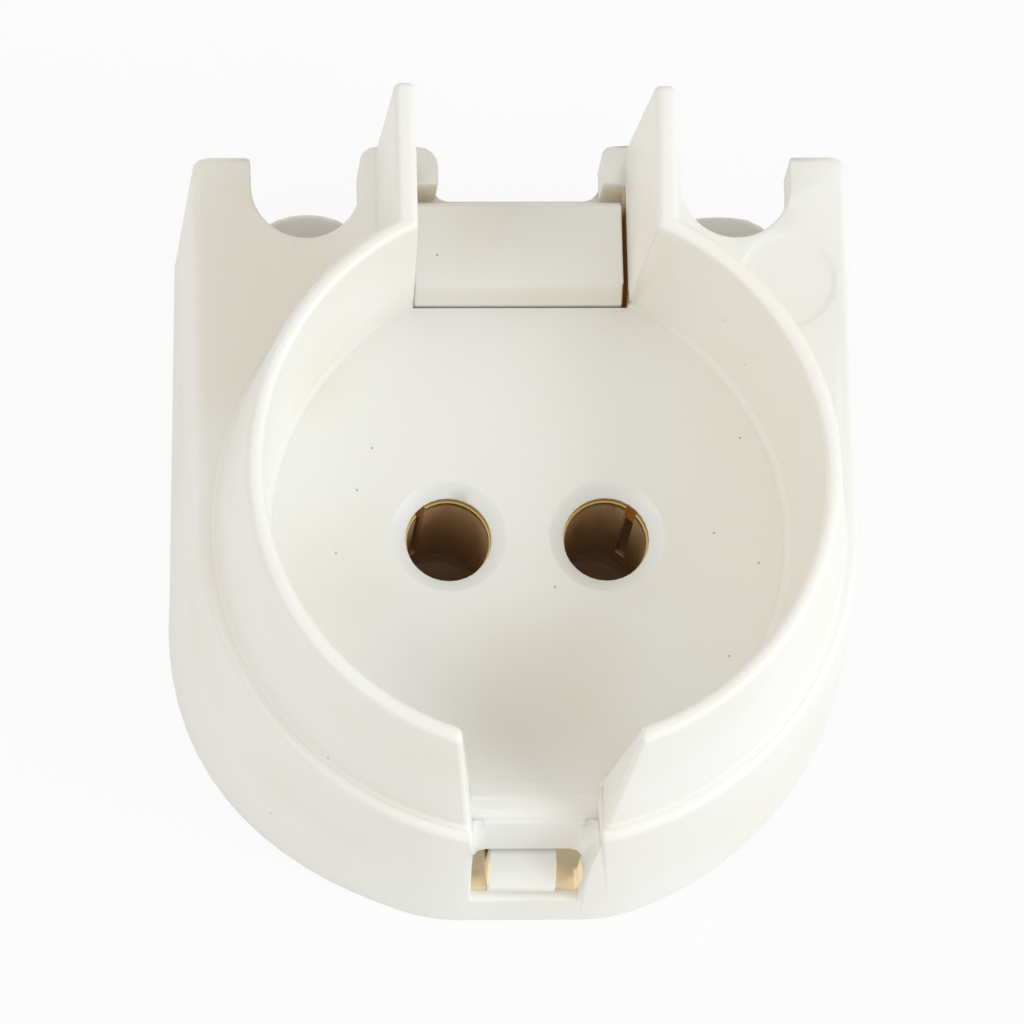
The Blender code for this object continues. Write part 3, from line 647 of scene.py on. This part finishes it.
@dataclass
class RefinedPiece:
    """A piece that takes its shape from its solid and rounds the solid's sharp edges.

    Attributes:
        node: Name of the solid's node.
        slot: Material slot of the piece, which is not used.
        edge_radius: Width of the rounding.
        edge_angle: Bend above which an edge is rounded, in degrees.
        flat_angle: Bend under which faces are joined into one flat, in degrees.
        fold_angle: Bend above which an edge counts as folded over, in degrees.
        merge: Distance under which vertices are one.
        segments: Steps of the rounding.
        rounds: How often the rounding is tried, each time with more edges left sharp.
        smallest_face: Area under which a face counts as a fault.
        wrong_way: Cosine to the solid's face under which a face counts as a fault.
        clearing: How many edge radii from a fault the edges stay sharp.
        smooth_angle: Bend above which an edge is shaded as sharp, in degrees.
        moves: Shifts that are made before the rounding.
    """

    node: str
    slot: Slot
    edge_radius: float
    edge_angle: float = 32.0
    flat_angle: float = 0.3
    fold_angle: float = 150.0
    merge: float = 0.0005 * MM
    segments: int = 2
    rounds: int = 8
    smallest_face: float = 1e-15
    wrong_way: float = -0.1
    clearing: float = 2.2
    smooth_angle: float = 50.0
    moves: tuple[Move, ...] = ()

    def merged(self) -> bmesh.types.BMesh:
        """Copy the solid's mesh, with the moves made and its flats made whole.

        Returns:
            The copy.
        """
        bm = bmesh.new()
        bm.from_mesh(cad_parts[self.node].data)
        bmesh.ops.remove_doubles(bm, verts=bm.verts, dist=self.merge)
        for move in self.moves:
            move.apply(bm)
        bmesh.ops.dissolve_limit(
            bm,
            angle_limit=math.radians(self.flat_angle),
            use_dissolve_boundaries=False,
            verts=bm.verts,
            edges=bm.edges,
            delimit=set(),
        )
        return bm

    def folds(self, bm: bmesh.types.BMesh, solid: BVHTree) -> list[Vector]:
        """Find where faces fold over or face the wrong way.

        Args:
            bm: The mesh to look at.
            solid: Tree of the solid's own faces, which point the right way.

        Returns:
            A point at each fault.
        """
        bm.normal_update()
        found = []
        for face in bm.faces:
            middle = face.calc_center_median()
            normal = solid.find_nearest(middle)[1]
            if face.calc_area() < self.smallest_face or normal.dot(face.normal) < self.wrong_way:
                found.append(middle)
        limit = math.radians(self.fold_angle)
        for edge in bm.edges:
            if edge.calc_face_angle(0.0) > limit:
                found.append((edge.verts[0].co + edge.verts[1].co) / 2)
        return found

    def rounded(self) -> bmesh.types.BMesh:
        """Bevel the sharp edges, apart from those where the bevel would fold.

        Returns:
            The rounded mesh, with no face of more than four corners.
        """
        base = self.merged()
        solid = BVHTree.FromBMesh(base)
        mark = base.edges.layers.int.new("round")
        for edge in base.edges:
            edge[mark] = int(edge.calc_face_angle(0.0) > math.radians(self.edge_angle))
        known = len(self.folds(base, solid))
        for step in range(self.rounds):
            work = base.copy()
            mark_work = work.edges.layers.int["round"]
            bmesh.ops.bevel(
                work,
                geom=[edge for edge in work.edges if edge[mark_work]],
                offset=self.edge_radius,
                offset_type="OFFSET",
                segments=self.segments,
                profile=0.5,
                affect="EDGES",
                clamp_overlap=False,
                material=-1,
                loop_slide=True,
                miter_outer="SHARP",
            )
            found = self.folds(work, solid)
            if len(found) <= known:
                break
            reach = self.edge_radius * (self.clearing + step)
            tree = KDTree(len(found))
            for index, point in enumerate(found):
                tree.insert(point, index)
            tree.balance()
            for edge in base.edges:
                if not edge[mark]:
                    continue
                first, last = (vert.co for vert in edge.verts)
                parts = max(1, int((last - first).length / reach))
                points = [first.lerp(last, index / parts) for index in range(parts + 1)]
                if any(tree.find(point)[2] < reach for point in points):
                    edge[mark] = 0
        base.free()
        large = [face for face in work.faces if len(face.verts) > 4]
        bmesh.ops.triangulate(work, faces=large, quad_method="BEAUTY", ngon_method="BEAUTY")
        LOG.info("%s: %d folds left, %d in the solid", self.node, len(found), known)
        return work

    def is_crisp(self, place: Vector) -> bool:
        """Say whether an edge through a place stays crisp, which none does by default."""
        return False

    def build(self, material: bpy.types.Material) -> bpy.types.Object:
        """Make the piece in the place of its solid.

        Args:
            material: Finish of the whole piece.

        Returns:
            The new object.
        """
        bm = self.rounded()
        mesh = bpy.data.meshes.new(self.node + "_shape")
        bm.to_mesh(mesh)
        bm.free()
        mesh.materials.clear()
        mesh.materials.append(material)
        mesh.shade_smooth()
        mesh.set_sharp_from_angle(angle=math.radians(self.smooth_angle))
        for edge in mesh.edges:
            if all(self.is_crisp(mesh.vertices[index].co) for index in edge.vertices):
                edge.use_edge_sharp = True
        piece = bpy.data.objects.new(self.node + "_shape", mesh)
        bpy.context.scene.collection.objects.link(piece)
        normals = piece.modifiers.new("normals", "WEIGHTED_NORMAL")
        normals.keep_sharp = True
        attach(piece, "root")
        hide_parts(self.node)
        return piece


@dataclass
class FrontHousing(RefinedPiece):
    """Front moulding with close gaps and a soft ejector mark.

    Attributes:
        mark_place: X and Y of the ejector mark.
        mark_radius: Radius of the mark.
        mark_slope: Width of its sloping border.
        mark_level: Height just under the plate's face.
        mark_depth: Depth under that height in which the mark's floor lies.
        mark_reach: Share of the radius up to which a vertex belongs to the mark.
        pin_place: Distance of a pin hole from the middle.
        funnel_radius: Radius of the rim of a pin hole's funnel.
        floor_top: Height of the cup's floor.
        near: Distance within which a vertex lies on the rim.
    """

    moves: tuple[Move, ...] = (
        # left ear's tip, floor's edge at the lug, opening's right wall and right ear's foot
        Move((-4.7, 11.5, 13.8), (-3.2, 12.3, 14.4), (0.0, 0.11, 0.0)),
        Move((-3.35, 7.0, 5.9), (3.35, 7.06, 7.4), (0.0, 0.15, 0.0)),
        Move((3.2, 6.9, 5.9), (3.31, 11.0, 8.05), (-0.12, 0.0, 0.0)),
        Move((3.31, 7.0, 7.2), (3.42, 12.2, 9.5), (-0.12, 0.0, 0.0)),
    )
    mark_place: tuple[float, float] = (8.0 * MM, 7.85 * MM)
    mark_radius: float = 1.5 * MM
    mark_slope: float = 0.14 * MM
    mark_level: float = 7.97 * MM
    mark_depth: float = 0.1 * MM
    mark_reach: float = 1.05
    pin_place: float = PIN_X * MM
    funnel_radius: float = 1.735 * MM
    floor_top: float = 7.35 * MM
    near: float = 0.015 * MM

    def is_crisp(self, place: Vector) -> bool:
        """Say whether a place lies on the rim of a pin hole's funnel."""
        away = math.hypot(abs(place.x) - self.pin_place, place.y)
        return abs(away - self.funnel_radius) < self.near and abs(place.z - self.floor_top) < self.near

    def soften_mark(self, bm: bmesh.types.BMesh) -> None:
        """Slope the wall of the ejector mark.

        Args:
            bm: The mesh to change.
        """
        x, y = self.mark_place
        for vert in bm.verts:
            away = Vector((vert.co.x - x, vert.co.y - y))
            sunk = self.mark_level - self.mark_depth < vert.co.z < self.mark_level
            if sunk and away.length < self.mark_radius * self.mark_reach:
                away *= 1.0 - self.mark_slope / self.mark_radius
                vert.co.x = x + away.x
                vert.co.y = y + away.y

    def merged(self) -> bmesh.types.BMesh:
        """Copy the solid's mesh with a soft ejector mark.

        Returns:
            The copy.
        """
        bm = super().merged()
        self.soften_mark(bm)
        return bm


@dataclass
class RearCover(RefinedPiece):
    """Rear moulding whose lug fills its opening and whose foot closes the window.

    Attributes:
        hood_flat: Y of the flat on top of the right hood.
        hood_crown: How far the round hood reached above the flat.
        hood_inside: X beyond which the right hood lies.
        hood_top: Height under which it lies.
    """

    moves: tuple[Move, ...] = (
        # left and right of the lug
        Move((-3.12, 7.2, 0.9), (-3.04, 10.5, 8.05), (-0.2, 0.0, 0.0)),
        Move((2.86, 7.2, 0.9), (2.94, 10.5, 8.05), (0.14, 0.0, 0.0)),
        # left and right of the foot, and its front edge, which goes up and forwards
        Move((-1.4, -9.6, -0.1), (-1.25, -8.6, 1.05), (-0.3, 0.0, 0.0)),
        Move((1.25, -9.6, -0.1), (1.4, -8.6, 1.05), (0.3, 0.0, 0.0)),
        Move((-1.7, -9.21, 0.9), (1.7, -9.17, 1.05), (0.0, 0.0, 1.0)),
        Move((-1.7, -9.4, -0.1), (1.7, -9.1, 2.05), (0.0, -0.29, 0.0)),
    )
    hood_flat: float = 11.03 * MM
    hood_crown: float = 0.3 * MM
    hood_inside: float = 4.5 * MM
    hood_top: float = 4.6 * MM

    def merged(self) -> bmesh.types.BMesh:
        """Copy the solid's mesh with a flat along the right hood's top.

        Returns:
            The copy.
        """
        bm = super().merged()
        for vert in bm.verts:
            on_hood = vert.co.x > self.hood_inside and vert.co.z < self.hood_top
            if on_hood and self.hood_flat < vert.co.y < self.hood_flat + self.hood_crown:
                vert.co.y = self.hood_flat
        return bm


@dataclass(frozen=True)
class Lamp:
    """Square lamp that faces the holder.

    Attributes:
        name: Name of the lamp.
        place: Where it hangs.
        power: Power in watts.
        colour: Colour of its light.
        size: Length of its sides.
    """

    name: str
    place: Place
    power: float
    colour: Colour
    size: float = 0.32

    def build(self) -> None:
        """Hang the lamp."""
        data = bpy.data.lights.new(self.name, "AREA")
        data.shape = "SQUARE"
        data.size = self.size
        data.energy = self.power
        data.color = self.colour
        lamp = bpy.data.objects.new(self.name, data)
        lamp.location = self.place
        lamp.rotation_mode = "QUATERNION"
        lamp.rotation_quaternion = Vector(self.place).to_track_quat("Z", "Y")
        bpy.context.scene.collection.objects.link(lamp)


@dataclass
class Studio:
    """White table, soft lamps and the camera of the photograph.

    Attributes:
        camera_place: Where the camera stands.
        camera_forward: Direction in which it looks.
        camera_up: Direction that is up in the picture.
        lens: Focal length in millimetres.
        sensor: Width of the picture on the sensor in millimetres.
        clip_start: Nearest distance that it sees.
        clip_end: Farthest distance that it sees.
        floor_size: Length of the table's sides.
        floor_drop: How far the table lies under the holder.
        floor_colour: Colour of the table.
        floor_glow: How much of the white that the camera sees is the table's own.
        world_level: Strength of the even light.
        world_colour: Colour of the even light.
        lamps: The two soft lamps.
    """

    camera_place: Place = (-0.026543, -0.100951, 0.345027)
    camera_forward: Place = (0.07373865, 0.28760073, -0.95490755)
    camera_up: Place = (0.00314428, 0.95744248, 0.28860701)
    lens: float = 413.9
    sensor: float = 36.0
    clip_start: float = 0.01
    clip_end: float = 10.0
    floor_size: float = 3.0
    floor_drop: float = 0.03 * MM
    floor_colour: Colour = (0.75, 0.75, 0.74)
    floor_glow: float = 0.9
    world_level: float = 0.66
    world_colour: Colour = (1.0, 0.97, 0.91)
    lamps: tuple[Lamp, ...] = (
        Lamp("key", (0.477, -0.174, 0.356), 1.93, (0.87, 0.94, 1.0)),
        Lamp("fill", (-0.412, -0.15, 0.438), 0.66, (1.0, 1.0, 1.0)),
    )

    def camera(self) -> None:
        """Put the camera at the photograph's place."""
        data = bpy.data.cameras.new("camera")
        data.lens = self.lens
        data.sensor_width = self.sensor
        data.sensor_fit = "HORIZONTAL"
        data.clip_start = self.clip_start
        data.clip_end = self.clip_end
        camera = bpy.data.objects.new("camera", data)
        bpy.context.scene.collection.objects.link(camera)
        back = -Vector(self.camera_forward)
        up = Vector(self.camera_up)
        right = up.cross(back)
        turn = Matrix((right, up, back)).transposed()
        camera.matrix_world = Matrix.Translation(self.camera_place) @ turn.to_4x4()
        bpy.context.scene.camera = camera

    def floor(self) -> None:
        """Lay the table under the holder."""
        bm = bmesh.new()
        bmesh.ops.create_grid(bm, x_segments=1, y_segments=1, size=self.floor_size / 2)
        bmesh.ops.translate(bm, verts=bm.verts, vec=(0.0, 0.0, -self.floor_drop))
        mesh = bpy.data.meshes.new("table")
        bm.to_mesh(mesh)
        bm.free()
        table = bpy.data.objects.new("table", mesh)
        bpy.context.scene.collection.objects.link(table)
        graph = Graph("table_white")
        diffuse = graph.node("ShaderNodeBsdfDiffuse", {}, {"Color": self.floor_colour})
        glow = graph.node("ShaderNodeEmission", {}, {"Color": (1.0, 1.0, 1.0), "Strength": 1.0})
        path = graph.node("ShaderNodeLightPath", {}, {})
        kinds = ("Is Camera Ray", "Is Glossy Ray", "Is Transmission Ray")
        camera, glossy, through = (Number(graph, path.outputs[kind]) for kind in kinds)
        share = (camera + glossy + through) * self.floor_glow
        mixed = graph.node("ShaderNodeMixShader", {}, {0: share, 1: diffuse.outputs[0], 2: glow.outputs[0]})
        graph.tree.links.new(graph.output.inputs["Surface"], mixed.outputs[0])
        mesh.materials.append(graph.material)

    def world(self) -> None:
        """Set the even light from all round."""
        world = bpy.data.worlds.new("world")
        world.use_nodes = True
        background = world.node_tree.nodes["Background"]
        background.inputs["Color"].default_value = (*self.world_colour, 1.0)
        background.inputs["Strength"].default_value = self.world_level
        bpy.context.scene.world = world

    def build(self) -> None:
        """Set up the whole studio."""
        self.camera()
        self.floor()
        self.world()
        for lamp in self.lamps:
            lamp.build()
        bpy.context.scene.view_settings.view_transform = "Standard"


def main() -> None:
    """Build the holder and its studio."""
    logging.basicConfig(level=logging.INFO, format="%(name)s: %(message)s")
    Studio().build()
    plastic = IvoryPlastic("ivory_plastic_moulded").build()
    brass = Brass("brass_stamped").build()
    steel = SpringSteel("spring_steel_rolled").build()
    pieces = [
        (FrontHousing("front_housing", Slot.PLASTIC, PLASTIC_EDGE), plastic),
        (RearCover("rear_cover", Slot.PLASTIC, PLASTIC_EDGE), plastic),
    ]
    for side in Side:
        pieces.append((RefinedPiece("contact_" + side.value, Slot.BRASS, METAL_EDGE), brass))
        pieces.append((RefinedPiece("wire_spring_" + side.value, Slot.STEEL, METAL_EDGE), steel))
    for piece, material in pieces:
        made = piece.build(material)
        LOG.info("%s: %d faces before its modifiers", made.name, len(made.data.polygons))


if __name__ == "__main__":
    main()
